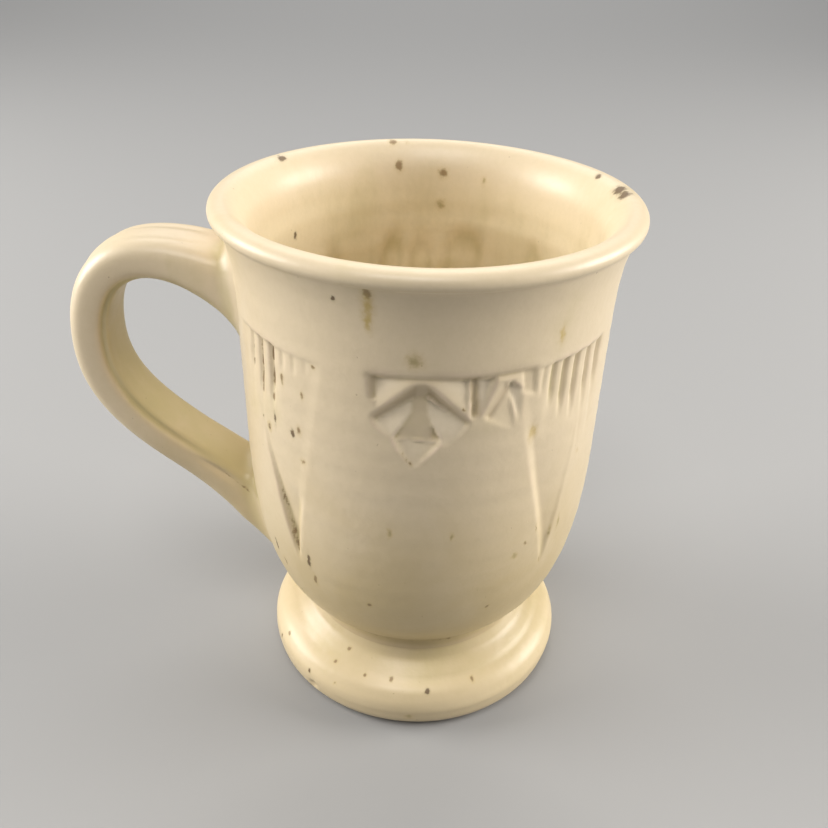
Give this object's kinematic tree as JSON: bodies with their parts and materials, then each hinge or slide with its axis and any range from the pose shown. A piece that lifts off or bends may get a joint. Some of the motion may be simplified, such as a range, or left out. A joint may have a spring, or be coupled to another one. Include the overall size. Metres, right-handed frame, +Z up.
{
  "type": "footed ceramic mug",
  "caption": "Hand-thrown footed stoneware mug with a rolled rim, carved belt, pulled strap handle and cream speckled glaze.",
  "frame": {"origin": "middle of the footprint of the whole mug, handle included, on the plane that it stands on; the axis that the cup was thrown on stands 16.4 mm towards +X of it", "axes": "+Z up along the thrown axis, -X towards the handle, -Y towards the front carved panel"},
  "size_m": [0.1208, 0.088, 0.119],
  "materials": {
    "cream_glaze": "satin cream glaze with iron speckle",
    "glazed_slip": "satin glaze over clay slip"
  },
  "bodies": {
    "root": {"cup_body": "cream_glaze", "pedestal_foot": "cream_glaze", "handle": "cream_glaze", "foot_slip_joint": "glazed_slip", "upper_handle_slip_joint": "glazed_slip", "lower_handle_slip_joint": "glazed_slip"}
  },
  "joints": []
}
